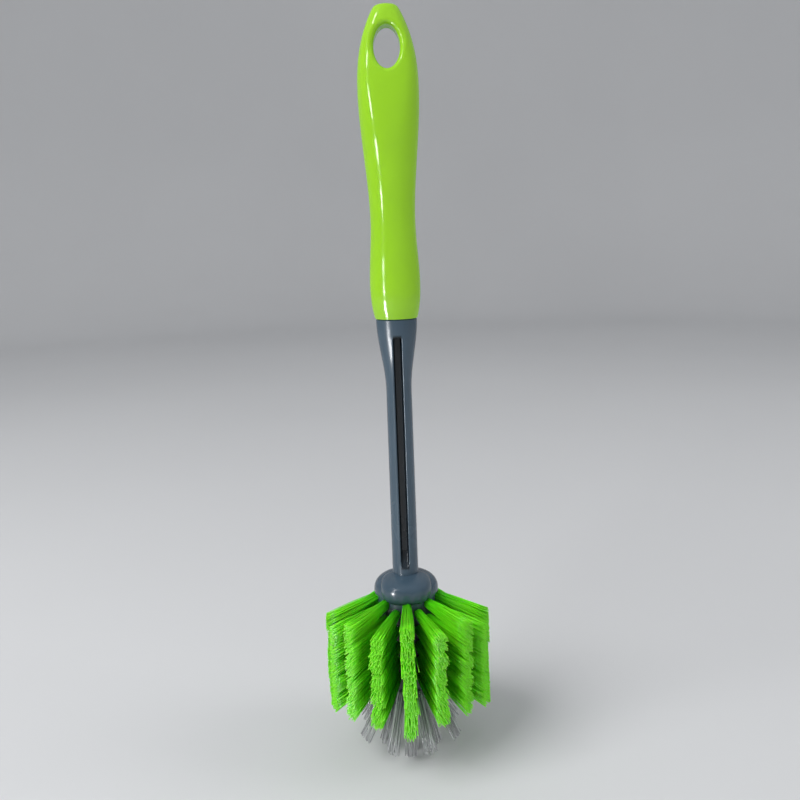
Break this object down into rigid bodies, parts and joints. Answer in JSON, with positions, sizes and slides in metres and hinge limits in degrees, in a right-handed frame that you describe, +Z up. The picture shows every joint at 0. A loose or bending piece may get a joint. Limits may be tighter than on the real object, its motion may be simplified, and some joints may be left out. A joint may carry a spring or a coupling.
{
  "type": "dish brush",
  "caption": "Round-headed dish brush with a glossy grip, a grooved plastic shaft, upright rows of bristle tufts and a softer clear bristle tip.",
  "frame": {"origin": "on the brush axis at the lowest bristle tip", "axes": "+Z up the handle towards the hang hole, -Y towards the front that the picture shows, +X to its right"},
  "size_m": [0.0538, 0.0538, 0.235],
  "materials": {
    "grip_lime": "glossy moulded polypropylene",
    "body_slate": "satin moulded polypropylene",
    "bristle_green": "drawn filament, cut ends",
    "bristle_clear": "clear drawn filament, cut ends",
    "anchor_wire": "bright flat wire"
  },
  "bodies": {
    "root": {"grip": "grip_lime", "brush_body": "body_slate", "tuft_row_01": "bristle_green", "tuft_row_02": "bristle_green", "tuft_row_03": "bristle_green", "tuft_row_04": "bristle_green", "tuft_row_05": "bristle_green", "tuft_row_06": "bristle_green", "tuft_row_07": "bristle_green", "tuft_row_08": "bristle_green", "tuft_row_09": "bristle_green", "tuft_row_10": "bristle_green", "tuft_row_11": "bristle_green", "tuft_row_12": "bristle_green", "tuft_row_13": "bristle_green", "tuft_row_14": "bristle_green", "tuft_row_15": "bristle_green", "tuft_row_16": "bristle_green", "tip_tufts_outer": "bristle_clear", "tip_tufts_inner": "bristle_clear", "tip_tuft_centre": "bristle_clear", "row_anchors": "anchor_wire", "tip_anchors": "anchor_wire"}
  },
  "joints": []
}
